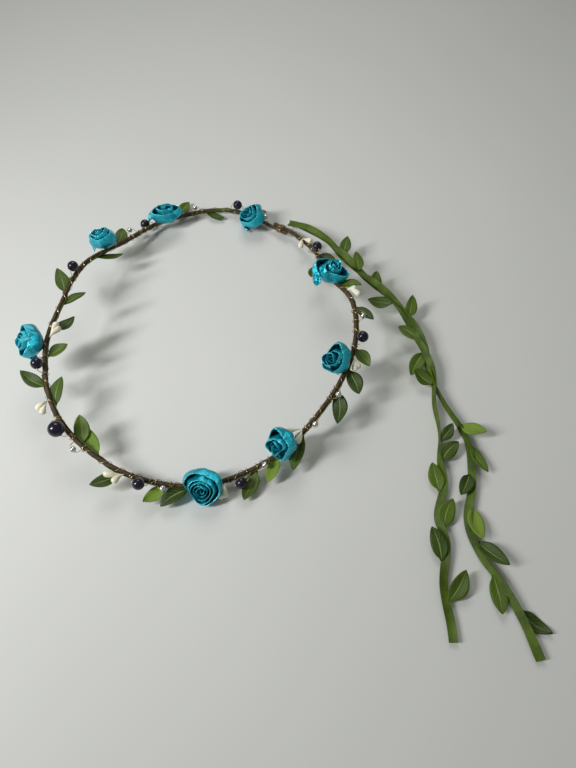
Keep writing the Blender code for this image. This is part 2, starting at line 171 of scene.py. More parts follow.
def wire_rings(points, radius, sides):
    """Round sections square to a path, turned no more than the path makes them."""
    rings, side = [], None
    for i, point in enumerate(points):
        ahead = (points[min(i + 1, len(points) - 1)] - points[max(i - 1, 0)]).normalized()
        side = ahead.orthogonal() if side is None else side
        side = (side - ahead * side.dot(ahead)).normalized()
        up = ahead.cross(side)
        size = radius[i] if isinstance(radius, list) else radius
        rings.append(
            [
                point + size * (side * math.cos(a) + up * math.sin(a))
                for a in (math.tau * k / sides for k in range(sides))
            ]
        )
    return rings


SHARP_FROM = math.radians(62)  # a steeper edge than this is shaded sharp


def place_piece(name, bm, finishes, nodes=(), body="crown", shell=False, detail=0):
    """Puts a mesh in the frame, in metres, on its body, in place of the CAD nodes it stands for."""
    if not shell:
        bmesh.ops.remove_doubles(bm, verts=bm.verts, dist=1e-4)
        bmesh.ops.recalc_face_normals(bm, faces=bm.faces)
    bmesh.ops.translate(bm, vec=LOOP_PLACE, verts=bm.verts)
    bmesh.ops.scale(bm, vec=(MM, MM, MM), verts=bm.verts)
    mesh = bpy.data.meshes.new(name)
    bm.to_mesh(mesh)
    bm.free()
    mesh.shade_smooth()
    mesh.set_sharp_from_angle(angle=SHARP_FROM)
    obj = bpy.data.objects.new(name, mesh)
    bpy.context.scene.collection.objects.link(obj)
    for finish in finishes:
        mesh.materials.append(finish)
    if detail:
        smooth = obj.modifiers.new("smooth", "SUBSURF")
        smooth.levels = smooth.render_levels = detail
    if body:
        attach(obj, body)
    if nodes:
        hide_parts(*nodes)
    return obj


def new_finish(name, roughness, metallic=0.0, **settings):
    """Makes a material, and gives it with its node tree and its Principled shader."""
    made = bpy.data.materials.new(name)
    made.use_nodes = True
    tree = made.node_tree
    shader = tree.nodes["Principled BSDF"]
    shader.inputs["Roughness"].default_value = roughness
    shader.inputs["Metallic"].default_value = metallic
    for key, value in settings.items():
        shader.inputs[key.replace("_", " ")].default_value = value
    return made, tree, shader


def node(tree, kind, links=(), **settings):
    """Adds a node. `links` are (input, socket or value)."""
    made = tree.nodes.new(kind)
    for key, value in settings.items():
        setattr(made, key, value)
    for key, source in links:
        if isinstance(source, bpy.types.NodeSocket):
            tree.links.new(source, made.inputs[key])
        else:
            made.inputs[key].default_value = source
    return made


def maths(tree, operation, *values):
    """A Math node's result."""
    return node(tree, "ShaderNodeMath", list(enumerate(values)), operation=operation).outputs[0]


def noise_of(tree, coords, scale, detail=3.0, rough=0.5):
    """Smooth noise; the scale is in bumps per metre."""
    return node(
        tree, "ShaderNodeTexNoise",
        [("Vector", coords), ("Scale", scale), ("Detail", detail), ("Roughness", rough)],
    ).outputs["Fac"]


def ramp(tree, source, *stops):
    """A colour ramp through (position, colour)."""
    made = node(tree, "ShaderNodeValToRGB", [("Fac", source)])
    while len(made.color_ramp.elements) < len(stops):
        made.color_ramp.elements.new(0.5)
    for element, (position, colour) in zip(made.color_ramp.elements, stops):
        element.position = position
        element.color = (*colour, 1)
    return made.outputs["Color"]


def mix(tree, share, first, second):
    """Two colours mixed by a share or a mask."""
    made = node(tree, "ShaderNodeMix", data_type="RGBA")
    for key, source in (("Factor", share), ("A", first), ("B", second)):
        socket = next(s for s in made.inputs if s.name == key and s.enabled)
        if isinstance(source, bpy.types.NodeSocket):
            tree.links.new(source, socket)
        else:
            socket.default_value = source if key == "Factor" else (*source, 1)
    return next(s for s in made.outputs if s.enabled)


def roughen(tree, shader, height, distance, strength=0.6):
    """Fine relief on a surface, its depth in metres."""
    bump = node(
        tree, "ShaderNodeBump", [("Height", height), ("Distance", distance), ("Strength", strength)]
    )
    tree.links.new(bump.outputs["Normal"], shader.inputs["Normal"])


steel, tree, shader = new_finish("florist_wire_steel", 0.38, 1.0)
coords = node(tree, "ShaderNodeTexCoord").outputs["Object"]
tree.links.new(
    ramp(tree, noise_of(tree, coords, 900), (0.3, (0.25, 0.25, 0.24)), (0.7, (0.42, 0.42, 0.41))),
    shader.inputs["Base Color"],
)
STEM_START, STEM_END = -JOIN_OVERLAP / 2, LOOP.length + JOIN_OVERLAP / 2
CORE_STOPS = 240
bm = bmesh.new()
core_path = [
    stem_frame(STEM_START + (STEM_END - STEM_START) * k / CORE_STOPS).translation
    for k in range(CORE_STOPS + 1)
]
draw_out(bm, wire_rings(core_path, CORE_RADIUS, 10))
close_ends(bm)
place_piece("core_wire_steel", bm, [steel], ["core_wire"])

# --- Floral tape ---------------------------------------------------------------------------
# Waxed brown crepe paper, wound tightly round the wire in a long spiral, so that each lap
# steps over the one before.
TAPE_LAP = 5.2  # how far along the stem each lap advances
TAPE_STEP, TAPE_SIDES = 0.9, 18
CORE_SHOWS = 0.8  # how much bare wire each end leaves past the tape

tape, tree, shader = new_finish("floral_tape_crepe", 0.62, Specular_IOR_Level=0.4)
coords = node(tree, "ShaderNodeTexCoord").outputs["Object"]
lap = node(tree, "ShaderNodeAttribute", attribute_name="lap").outputs["Fac"]
paper = ramp(
    tree, noise_of(tree, coords, 420, 5, 0.6),
    (0.25, (0.018, 0.010, 0.003)), (0.5, (0.050, 0.029, 0.008)), (0.78, (0.115, 0.072, 0.022)),
)
# The raised edge of each lap is darker.
edge = maths(tree, "GREATER_THAN", lap, 0.86)
lap_edge_darkening = maths(tree, "MULTIPLY", edge, 0.45)
tree.links.new(mix(tree, lap_edge_darkening, paper, (0.02, 0.012, 0.004)), shader.inputs["Base Color"])
crepe = node(
    tree, "ShaderNodeTexWave", [("Vector", coords), ("Scale", 900.0), ("Distortion", 6.0), ("Detail", 2.0)],
    bands_direction="DIAGONAL",
).outputs["Fac"]
roughen(tree, shader, maths(tree, "ADD", crepe, noise_of(tree, coords, 1500, 2)), 0.00012)

bm = bmesh.new()
lap_layer = bm.verts.layers.float.new("lap")
rings, laps = [], []
taped = STEM_END - STEM_START - 2 * CORE_SHOWS
stops = int(taped / TAPE_STEP)
for k in range(stops + 1):
    at = STEM_START + CORE_SHOWS + taped * k / stops
    place, ring, ring_laps = stem_frame(at), [], []
    for side in range(TAPE_SIDES):
        angle = math.tau * side / TAPE_SIDES
        share = (at / TAPE_LAP - side / TAPE_SIDES) % 1
        wrinkle = noise.noise(Vector((at * 0.9, 2 * math.cos(angle), 2 * math.sin(angle))))
        swell = noise.noise(Vector((at * 0.16, 5, 2)))
        reach = TAPE_RADIUS * (0.84 + 0.12 * share) + 0.10 * wrinkle + 0.10 * swell
        ring.append(place @ Vector((reach * math.cos(angle), 0, reach * math.sin(angle))))
        ring_laps.append(share)
    rings.append(ring)
    laps.append(ring_laps)
draw_out(bm, rings, [lap_layer], [laps])
close_ends(bm)
place_piece("floral_tape_wrap", bm, [tape], ["stem_tape"])

# --- Gold wire at the join -----------------------------------------------------------------
# Fine champagne-gold craft wire, wound three times round both ends of the stem to bind them.
WIRE_RADIUS, COIL_PITCH, JOIN_TURNS = 0.18, 1.2, 3.0
STEPS_A_TURN = 28

gold, tree, shader = new_finish("gold_craft_wire", 0.27, 1.0)
coords = node(tree, "ShaderNodeTexCoord").outputs["Object"]
tree.links.new(
    ramp(tree, noise_of(tree, coords, 500), (0.3, (0.46, 0.33, 0.15)), (0.7, (0.70, 0.55, 0.30))),
    shader.inputs["Base Color"],
)
join_out, join_up = 2 * TAPE_RADIUS + 0.7, TAPE_RADIUS + 0.8
bm = bmesh.new()
path = []
for k in range(int(JOIN_TURNS * STEPS_A_TURN) + 1):
    angle = math.tau * k / STEPS_A_TURN
    path.append(
        station(JOIN_TURN, (k / STEPS_A_TURN - JOIN_TURNS / 2) * COIL_PITCH)
        @ Vector((join_out * math.cos(angle), 0, join_up * math.sin(angle)))
    )
draw_out(bm, wire_rings(path, WIRE_RADIUS * 1.1, 8))
close_ends(bm)
place_piece("join_binding_wire", bm, [gold], ["end_binding"])

# --- Leaf vine -----------------------------------------------------------------------------
# A narrow strip die-cut from green satin with its leaves in one piece, wound slowly round the
# taped stem. The leaves are dark with pale printed veins, and paler on their backs.
VINE_WIDTH, VINE_THICKNESS = 2.7, 0.3
# Turn round the loop, the tip's place from the root (out, along, up), width, back side up
VINE_LEAVES = (
    (203, -10, -5, 0, 7, 0), (192, -9, -8, 0, 7, 0), (175, 10, -16, 1, 8, 0), (149, -9, -11, 1, 8, 0),
    (136, 10, -14, 1, 8, 0), (106, 11, -10, 0, 7, 0), (95.5, -7, -10, 0, 6, 0), (79, 8, -10, 0, 6, 1),
    (38.5, 8, -9, 0, 6, 0), (30, -8, -10, 0, 7, 0), (13, 10, -7, 0, 7, 0), (357, 8, -9, 0, 6, 0),
    (338.5, 9, -7, 0, 7, 0), (330, 10, -9, 0, 8, 0), (322, 9, -14, 0, 8, 0), (304, 9, -15, 0, 8, 0),
    (294, 8, -10, 0, 7, 1), (286.8, 11, -11, 0, 8, 0), (267, 9, -12, 0, 8, 0), (260.8, 9, -8, 0, 7, 1),
    (248, 11, -9, 0, 7, 0), (234.5, -9, -11, 1, 8, 0), (240, -8, -14, 0, 7, 1), (220, -8, -13, 0, 7, 0),
    (213, 11, -11, 0, 7, 0), (181, -9, -9, 0, 6, 0),
)

# Printed veins, as masks from a leaf's own map: U from root to tip, V across
veins = bpy.data.node_groups.new("leaf_veins", "ShaderNodeTree")
veins.interface.new_socket("Map", in_out="INPUT", socket_type="NodeSocketVector")
veins.interface.new_socket("Vein", in_out="OUTPUT", socket_type="NodeSocketFloat")
veins.interface.new_socket("Height", in_out="OUTPUT", socket_type="NodeSocketFloat")
inside, outside = veins.nodes.new("NodeGroupInput"), veins.nodes.new("NodeGroupOutput")
split = node(veins, "ShaderNodeSeparateXYZ", [("Vector", inside.outputs["Map"])])
along, across = split.outputs["X"], split.outputs["Y"]
off = maths(veins, "ABSOLUTE", maths(veins, "SUBTRACT", across, 0.5))
wide = maths(veins, "SUBTRACT", 0.055, maths(veins, "MULTIPLY", along, 0.035))
near = maths(veins, "SUBTRACT", 1.35, maths(veins, "DIVIDE", off, wide))
rib = maths(veins, "SMOOTH_MIN", 1.0, maths(veins, "MAXIMUM", 0.0, near), 0.2)
slant = maths(veins, "SUBTRACT", maths(veins, "MULTIPLY", along, 6.5), maths(veins, "MULTIPLY", off, 4.6))
stripe = maths(veins, "ABSOLUTE", maths(veins, "SUBTRACT", maths(veins, "FRACT", slant), 0.5))
branch = maths(veins, "MAXIMUM", 0.0, maths(veins, "SUBTRACT", 1.0, maths(veins, "MULTIPLY", stripe, 11.0)))
reach = maths(veins, "LESS_THAN", off, 0.40)
ends = maths(
    veins, "MULTIPLY", maths(veins, "GREATER_THAN", along, 0.2), maths(veins, "LESS_THAN", along, 0.88)
)
branch = maths(veins, "MULTIPLY", maths(veins, "MULTIPLY", branch, reach), maths(veins, "MULTIPLY", ends, 0.6))
vein = maths(veins, "MAXIMUM", rib, branch)
veins.links.new(vein, outside.inputs["Vein"])
veins.links.new(vein, outside.inputs["Height"])

# The satin's diagonal weave, which the leaves and their strip share
weaving = bpy.data.node_groups.new("satin_weave", "ShaderNodeTree")
weaving.interface.new_socket("Place", in_out="INPUT", socket_type="NodeSocketVector")
weaving.interface.new_socket("Height", in_out="OUTPUT", socket_type="NodeSocketFloat")
inside, outside = weaving.nodes.new("NodeGroupInput"), weaving.nodes.new("NodeGroupOutput")
threads = node(
    weaving, "ShaderNodeTexWave",
    [("Vector", inside.outputs["Place"]), ("Scale", 1400.0), ("Distortion", 1.0)],
    bands_direction="DIAGONAL",
)
weaving.links.new(threads.outputs["Fac"], outside.inputs["Height"])


def weave_of(tree, coords):
    """The weave's height in one finish."""
    woven = node(tree, "ShaderNodeGroup", node_tree=weaving)
    tree.links.new(coords, woven.inputs["Place"])
    return woven.outputs["Height"]


def leaf_satin(name, dark, light, vein_colour, vein_share, roughness):
    """Printed satin leaf: woven sheen, blotchy dye, and the veins of the group above."""
    made, tree, shader = new_finish(name, roughness, Specular_IOR_Level=0.32)
    coords = node(tree, "ShaderNodeTexCoord").outputs
    mask = node(tree, "ShaderNodeGroup", node_tree=veins)
    tree.links.new(coords["UV"], mask.inputs["Map"])
    tint = node(tree, "ShaderNodeAttribute", attribute_name="tint").outputs["Fac"]
    blotch = noise_of(tree, coords["Object"], 160)
    blotch = maths(tree, "MULTIPLY_ADD", blotch, 0.5, maths(tree, "MULTIPLY", tint, 0.75))
    dye = ramp(tree, blotch, (0.2, dark), (0.9, light))
    share = maths(tree, "MULTIPLY", mask.outputs["Vein"], vein_share)
    tree.links.new(mix(tree, share, dye, vein_colour), shader.inputs["Base Color"])
    weave = maths(tree, "MULTIPLY", weave_of(tree, coords["Object"]), 0.25)
    height = maths(tree, "MULTIPLY_ADD", mask.outputs["Height"], 1.2, weave)
    roughen(tree, shader, height, 0.00015, 0.8)
    return made


LEAF_FRONT = leaf_satin(
    "leaf_satin_front", (0.016, 0.038, 0.001), (0.075, 0.135, 0.005), (0.27, 0.33, 0.12), 0.7, 0.42
)
LEAF_BACK = leaf_satin(
    "leaf_satin_back", (0.095, 0.170, 0.012), (0.185, 0.290, 0.030), (0.23, 0.32, 0.07), 0.5, 0.6
)


def add_leaf(bm, layers, root, tip, face_up, width, flipped, tint, rng):
    """One leaf, shaped from a flat grid: stalk, rounded sides, point, folded at its midrib."""
    made = bmesh.ops.create_grid(bm, x_segments=12, y_segments=8, size=1, calc_uvs=True)
    heading = (tip - root).normalized()
    across = face_up.cross(heading).normalized()
    normal = heading.cross(across).normalized()
    length = (tip - root).length
    fold, bend = rng.uniform(0.10, 0.32), rng.uniform(-0.05, 0.16)
    ruffle, phase = rng.uniform(0.02, 0.06), rng.uniform(0, 6)
    lean = rng.uniform(-0.07, 0.07)
    for vert in made["verts"]:
        share, side = (vert.co.x + 1) / 2, vert.co.y
        blade = min(1.0, max(0.0, share - 0.05) / 0.95)  # past the stalk
        swell = max(0.0, math.sin(math.pi * blade**0.82)) ** 0.72
        half = width / 2 * max(swell, 0.16 * (1 - share) + 0.015)
        rise = fold * abs(side) * half - bend * length * math.sin(math.pi * share)
        rise += ruffle * width * side * side * math.sin(7 * share + phase)
        drift = lean * length * math.sin(math.pi * share)
        vert.co = root + heading * length * share + across * (side * half + drift) + normal * rise
        vert[layers[0]] = tint
    if flipped:
        faces = {face for vert in made["verts"] for face in vert.link_faces}
        bmesh.ops.reverse_faces(bm, faces=list(faces))


LEAF_THICKNESS = 0.22


def finish_leaves(obj):
    """Cloth thickness for flat blades, with the back's finish on their undersides."""
    thick = obj.modifiers.new("cloth", "SOLIDIFY")
    thick.thickness = LEAF_THICKNESS * MM
    thick.offset = 0
    thick.material_offset = 1


# Where the strip lies under a leaf that points outwards or inwards, in degrees round the stem
# from its outer side, and the longest gap between leaves that it crosses underneath
OUTER_ROOT, INNER_ROOT, SHORT_GAP = -40.0, -140.0, 15.0


def vine_angles(stops):
    """Where the strip is round the stem: under each leaf, and over the top in the long gaps."""
    angles, before = [], None
    for at, side in stops:
        want = OUTER_ROOT if side > 0 else INNER_ROOT
        if before is None:
            angles.append((at, want))
        else:
            last_at, last = before
            turn = (want - last) % 360
            if at - last_at < SHORT_GAP and turn > 180:
                turn -= 360
            angles.append((at, last + turn))
        before = angles[-1]
    return angles


leaf_stops = sorted((from_join(turn), out) for turn, out, *_ in VINE_LEAVES)
angles = vine_angles(leaf_stops)
angles.insert(0, (JOIN_OVERLAP, angles[0][1] - 60))
angles.append((LOOP.length - JOIN_OVERLAP, angles[-1][1] + 60))


def angle_at(stops, at):
    """Read between (distance, degrees) stops, smoothly, in radians."""
    for (a, first), (b, second) in zip(stops, stops[1:]):
        if at <= b:
            return math.radians(first + (second - first) * ease(at, a, b))
    return math.radians(stops[-1][1])


strip, tree, shader = new_finish("vine_strip_satin", 0.5, Specular_IOR_Level=0.3)
coords = node(tree, "ShaderNodeTexCoord").outputs["Object"]
tree.links.new(
    ramp(tree, noise_of(tree, coords, 130), (0.3, (0.034, 0.062, 0.003)), (0.7, (0.100, 0.165, 0.010))),
    shader.inputs["Base Color"],
)
roughen(tree, shader, weave_of(tree, coords), 0.00008)

VINE_STOPS = 420
bm = bmesh.new()
rings = []
for k in range(VINE_STOPS + 1):
    at = JOIN_OVERLAP + (LOOP.length - 2 * JOIN_OVERLAP) * k / VINE_STOPS
    place, middle = stem_frame(at), angle_at(angles, at)
    inner = TAPE_RADIUS + 0.06 + 0.12 * noise.noise(Vector((at * 0.2, 7, 1)))
    spread = VINE_WIDTH / 2 / inner
    ring = [
        place @ Vector((far * math.cos(middle + turn), 0, far * math.sin(middle + turn)))
        for far, turn in (
            *((inner, spread * s) for s in (-1, -0.5, 0, 0.5, 1)),
            *((inner + VINE_THICKNESS, spread * s) for s in (1, 0.5, 0, -0.5, -1)),
        )
    ]
    rings.append(ring)
draw_out(bm, rings)
close_ends(bm)
place_piece("leaf_vine_strip", bm, [strip], ["leaf_vine"])

rng = random.Random(5)
bm = bmesh.new()
bm.loops.layers.uv.new("map")
tint_layer = bm.verts.layers.float.new("tint")
for turn, out, on, up, width, flipped in VINE_LEAVES:
    place = stem_frame(from_join(turn))
    side = math.copysign(1, out)
    root = place @ Vector((side * 1.2, 1.0, -0.9))
    tip = place @ Vector((side * 1.2 + out, on, -1.3 + up + 0.6))
    face_up = place.to_3x3() @ Vector((-side * 0.15, 0, 1))
    add_leaf(bm, [tint_layer], root, tip, face_up, width, flipped, rng.random(), rng)
leaves = place_piece("leaf_vine_leaves", bm, [LEAF_FRONT, LEAF_BACK], shell=True)
finish_leaves(leaves)

# --- Long gold wire ------------------------------------------------------------------------
# The same craft wire runs round the whole stem in loose, uneven turns, and holds the vine and
# the trimmings down.
LONG_STEPS_A_TURN, PAST_VINE = 18, 4.0  # it starts and ends this far past the leaf strip
bm = bmesh.new()
path, angle, at = [], 0.4, JOIN_OVERLAP - PAST_VINE
while at < LOOP.length - JOIN_OVERLAP + PAST_VINE:
    pitch = 10.5 + 7.5 * noise.noise(Vector((at * 0.035, 3.0, 0.0)))
    reach = TAPE_RADIUS + 0.42 + 0.15 * noise.noise(Vector((at * 0.5, 1.0, 0.0)))
    path.append(stem_frame(at) @ Vector((reach * math.cos(angle), 0, reach * math.sin(angle))))
    angle += math.tau / LONG_STEPS_A_TURN
    at += pitch / LONG_STEPS_A_TURN
draw_out(bm, wire_rings(path, WIRE_RADIUS * 0.8, 6))
close_ends(bm)
place_piece("long_gold_wire", bm, [gold])

# --- Ribbon roses --------------------------------------------------------------------------
# Each is a length of teal satin ribbon, folded over and rolled up into a rose, with its base
# gathered and tied down on the stem with wire.
ROSE_DEPTH = 12.0
REST_FLAT = 0.8  # how far the front rose is pressed against the table
# What would lie lower than this is squeezed up, and never lower than the second height
PRESSED_FROM, PRESSED_TO = 0.7, 0.1
# Turn, (out, along, up) of the centre, azimuth and elevation it faces, diameter; then the tight
# turns at its heart, all its turns, petals in a turn, how pointed they are, its stretch to the
# right and to the back, which way the ribbon's end hangs, and its seed
ROSES = (
    (199, (7.8, 0, 2.0), 208, 37, 17.5, 2.1, 4.3, 1.9, 0.45, (1.04, 1.06), (0.2, -1, -1), 11),
    (143, (3.8, 0, 6.3), 175, 71, 17.0, 1.9, 4.1, 1.9, 0.60, (1.10, 0.88), (-1, -0.8, -0.6), 23),
    (113, (-0.6, 0, 6.8), 180, 85, 19.0, 1.2, 3.6, 1.6, 0.65, (1.16, 0.84), (-1, -0.3, 0), 35),
    (75, (-5.6, 0, 6.2), 205, 54, 17.0, 2.6, 4.5, 1.6, 0.40, (1.14, 1.12), (-0.6, -1, -0.6), 47),
    (18.5, (-0.8, -1.2, 6.6), 7, 65, 19.5, 1.8, 4.0, 2.0, 1.00, (1.04, 0.92), (-0.8, -1, -0.5), 52),
    (331.5, (-6.0, 0, 5.0), 213, 41, 15.5, 1.9, 4.0, 2.4, 0.80, (1.07, 1.05), (-0.3, -1, -0.8), 66),
    (297, (-0.3, 1.5, 7.2), 227, 32, 16.0, 1.9, 4.0, 2.2, 0.90, (1.05, 1.05), (0.5, -1, -1), 78),
    (272, (2.6, 0, 6.0), 262, 42, 19.5, 3.3, 5.3, 1.4, 0.30, (1.06, 1.04), (-0.6, 0.2, -1), 81),
)
FRONT_ROSE = 8

satin, tree, shader = new_finish(
    "teal_satin_ribbon", 0.30, 0.70, Specular_IOR_Level=0.8, Anisotropic=0.35, Coat_Weight=0.35,
    Coat_Roughness=0.12,
)
coords = node(tree, "ShaderNodeTexCoord").outputs["Object"]
fold = node(tree, "ShaderNodeAttribute", attribute_name="fold").outputs["Fac"]
run = node(tree, "ShaderNodeAttribute", attribute_name="run").outputs["Fac"]
dye = ramp(
    tree, noise_of(tree, coords, 230, 4, 0.6),
    (0.28, (0.0, 0.400, 0.580)), (0.55, (0.0, 0.550, 0.740)), (0.75, (0.004, 0.680, 0.850)),
)
# Painted shade: the lower part of each wall, down between the turns, is darkened towards dark teal, and dye
# carries this painted shade from here on.
painted_crevice_shade = ramp(tree, fold, (0.40, (0.50, 0.50, 0.50)), (0.72, (0.14, 0.14, 0.14)), (0.88, (0.0, 0.0, 0.0)))
dye = mix(tree, painted_crevice_shade, dye, (0.0, 0.070, 0.115))
# Painted highlight: the top edge of each fold is painted a pale cyan.
painted_fold_highlight = maths(tree, "POWER", fold, 9.0)
painted_fold_highlight = maths(tree, "MULTIPLY", painted_fold_highlight, 0.7)
tree.links.new(mix(tree, painted_fold_highlight, dye, (0.10, 0.80, 0.88)), shader.inputs["Base Color"])
tree.links.new(
    maths(tree, "MULTIPLY_ADD", noise_of(tree, coords, 320), 0.14, 0.18), shader.inputs["Roughness"]
)
# Fine cross ribs, a soft crumple, and creases that run up and along the ribbon
ribs = maths(tree, "SINE", maths(tree, "MULTIPLY", run, 26.0))
ribs = maths(tree, "MULTIPLY", ribs, 0.22)
crumple = maths(tree, "MULTIPLY_ADD", noise_of(tree, coords, 420, 2), 2.5, ribs)
slanted = maths(tree, "MULTIPLY_ADD", fold, 2.4, maths(tree, "MULTIPLY", run, 0.55))
ribbon_place = node(
    tree, "ShaderNodeCombineXYZ", [("X", slanted), ("Y", maths(tree, "MULTIPLY", fold, 1.3))]
)
streaks = noise_of(tree, ribbon_place.outputs["Vector"], 1.0, 3, 0.6)
crumple = maths(tree, "MULTIPLY_ADD", streaks, 13.0, crumple)
roughen(tree, shader, crumple, 0.00009, 0.8)


def rose_place(number, turn, centre, azimuth, elevation, diameter):
    """The rose's own axes, with Z the way it faces, from the middle of its depth."""
    azimuth, elevation = math.radians(azimuth), math.radians(elevation)
    level, rise = math.cos(elevation), math.sin(elevation)
    facing = Vector((math.cos(azimuth) * level, math.sin(azimuth) * level, rise))
    axes = facing.to_track_quat("Z", "Y").to_matrix().to_4x4()
    place = Matrix.Translation(station(turn) @ Vector(centre)) @ axes
    if number == FRONT_ROSE:
        r, h = diameter / 2, ROSE_DEPTH / 2
        rim = ((r, 0.15 * h), (0.82 * r, -0.5 * h), (0.94 * r, 0.62 * h))
        place.translation.z = max(far * level - high * rise for far, high in rim) - REST_FLAT
    return place


def ridge(where):
    """Noise with sharp crests, as satin creases."""
    return 1 - 2.4 * abs(noise.noise(where))


# The ribbon's first turn starts this far from the rose's middle, and the tight turns are this
# far apart; then the stops of its spiral in a turn
HEART_START, HEART_PITCH, ROSE_STEPS = 0.42, 1.48, 44
# Heights up the folded ribbon, as shares, closer together near the fold
UP_THE_WALL = (0.0, 0.14, 0.28, 0.42, 0.55, 0.66, 0.75, 0.83, 0.89, 0.935, 0.968, 0.99)


def roll_rose(bm, layers, place, radius, core, turns, petals, pointed, end_towards, seed):
    """Draws the folded ribbon's section out along a spiral, from the heart to its loose end."""
    half = ROSE_DEPTH / 2
    local = place.to_3x3().inverted() @ Vector(end_towards)
    end = math.atan2(local.y, local.x)
    phase = random.Random(seed).uniform(0, 1)
    heart = HEART_START + HEART_PITCH * core

    def reach_at(n):
        """The ribbon's distance from the middle after n turns: tight, then wide, then snug."""
        if n <= core:
            return HEART_START + HEART_PITCH * max(n, 0.0)
        left = max(0.0, 1 - (n - core) / (turns - core))
        return heart + (radius * 0.97 - heart) * (1 - left**1.35)

    steps = int(turns * ROSE_STEPS)
    walls = [(v, 1) for v in UP_THE_WALL] + [(1.0, 0)] + [(v, -1) for v in reversed(UP_THE_WALL)]
    rings, folds, runs, ran = [], [], [], 0.0
    for k in range(steps + 1):
        n = turns * k / steps
        theta = end - math.tau * (turns - n)
        around = Vector((math.cos(theta), math.sin(theta)))
        outer = ease(n, core * 0.8, core + 0.7)
        last = ease(n, turns - 0.9, turns)
        loose = ease(n, turns - 0.22, turns)
        # Petals: where one stands out, and where it comes to a point
        beat = (theta * petals / math.tau + phase + 0.37 * math.floor(n)) % 1
        petal = max(0.0, math.sin(math.pi * beat))
        point_out = max(0.0, 1 - abs(beat - 0.5) / 0.25) ** 1.6
        full = reach_at(n) * (1 + outer * 0.07 * (petal - 0.6) + outer * 0.09 * pointed * point_out)
        gap = full - (reach_at(n - 1) if n > 1 else 0.1)
        # The top leans in over the gap, sinks from the heart outwards, and drops at the loose end
        lean = 0.12 + outer * (0.62 - 0.62 * petal**2 * (0.3 + 0.7 * pointed))
        top_out = full - lean * gap + outer * 0.9 * pointed * point_out
        top = half * (0.80 + 0.14 * ease(n, 0, core * 0.7) - 0.56 * ease(n, core * 0.9, turns))
        top += half * 0.11 * (1 - outer) * math.sin(theta * 1.5 + seed)
        top += half * (0.05 + 0.95 * outer) * (0.22 * petal - 0.12) - half * 0.8 * loose
        low = full * 0.42 + (full * 0.62) * loose * (0.4 + pointed)
        floor = -half + half * 0.35 * (1 - outer) + half * 0.1 * last
        ran += math.tau * turns / steps * full
        ring, ring_folds = [], []
        for v, wall in walls:
            belly = math.sin(min(v / 0.55, 1.0) * math.pi / 2) ** 0.8
            far = low + (full - low) * belly + (top_out - full) * ease(v, 0.50, 1.0) ** 1.1
            # Creases: slow waves, and two sets of sharp ones that slant opposite ways
            rise_in = v * 1.5 + seed
            crease = noise.noise(Vector((ran * 0.20 + v * 1.3, rise_in * 0.6, seed)))
            crease += 0.60 * ridge(Vector((ran * 0.34 - v * 2.6, rise_in * 0.6, 3.7)))
            crease += 0.36 * ridge(Vector((ran * 0.72 + v * 2.8, rise_in * 0.7, 8.1)))
            depth = 0.40 + 0.60 * math.sin(math.pi * min(1.0, v * 0.9 + 0.1))
            far += (0.16 + 0.84 * outer) * depth * (crease - 0.15)
            lopsided = noise.noise(Vector((around.x * 1.3, around.y * 1.3, v * 0.5 + seed)))
            far += 1.5 * full / radius * lopsided
            thick = 0.13 + (0.12 + 0.09 * outer * min(gap, 3.0)) * ease(v, 0.45, 0.86)
            far += wall * thick * math.sqrt(max(0.0, 1 - max(0.0, (v - 0.80) / 0.20) ** 2))
            ring.append(place @ Vector((around.x * far, around.y * far, floor + (top - floor) * v)))
            ring_folds.append(v)
        rings.append(ring)
        folds.append(ring_folds)
        runs.append(ran)
    draw_out(bm, rings, layers, [folds, runs])
    close_ends(bm)


for number, (*spot, core, turns, petals, pointed, stretch, end_towards, seed) in enumerate(ROSES, 1):
    place, half, radius = rose_place(number, *spot), ROSE_DEPTH / 2, spot[-1] / 2
    bm = bmesh.new()
    layers = [bm.verts.layers.float.new("fold"), bm.verts.layers.float.new("run")]
    # The gathered, tied base under the petals
    profile = (
        (0.0, -half - 0.3), (0.26, -half - 0.2), (0.38, -half + 0.5), (0.30, -half + 1.4),
        (0.46, -half + 2.8), (0.0, -half + 3.4),
    )
    verts = [bm.verts.new((far * radius, 0, high)) for far, high in profile]
    edges = [bm.edges.new(pair) for pair in zip(verts, verts[1:])]
    bmesh.ops.spin(
        bm, geom=verts + edges, cent=(0, 0, 0), axis=(0, 0, 1), angle=math.tau, steps=28, use_merge=True
    )
    bmesh.ops.transform(bm, matrix=place, verts=bm.verts)
    roll_rose(bm, layers, place, radius, core, turns, petals, pointed, end_towards, seed)
    about = Matrix.Translation(-place.translation)
    bmesh.ops.scale(bm, vec=(*stretch, 1), space=about, verts=bm.verts)
    for vert in bm.verts:
        if vert.co.z < PRESSED_FROM:
            squeezed = 1 - math.exp(vert.co.z - PRESSED_FROM)
            vert.co.z = PRESSED_FROM - (PRESSED_FROM - PRESSED_TO) * squeezed
    place_piece(f"ribbon_rose_{number}", bm, [satin], [f"rose_{number}"], detail=1)

# --- Pearls and silver beads ---------------------------------------------------------------
# Drilled plastic pearls with a dark purple pearl coat, and small plated silver beads. Each is
# threaded on gold wire that takes a turn round the stem on both sides of it.
PEARL_BORE, BEAD_BORE, BEAD_DIAMETER = 1.5, 1.2, 3.2
WIRE_ROOM = 0.5  # what each coil leaves for a wire, beside the bead
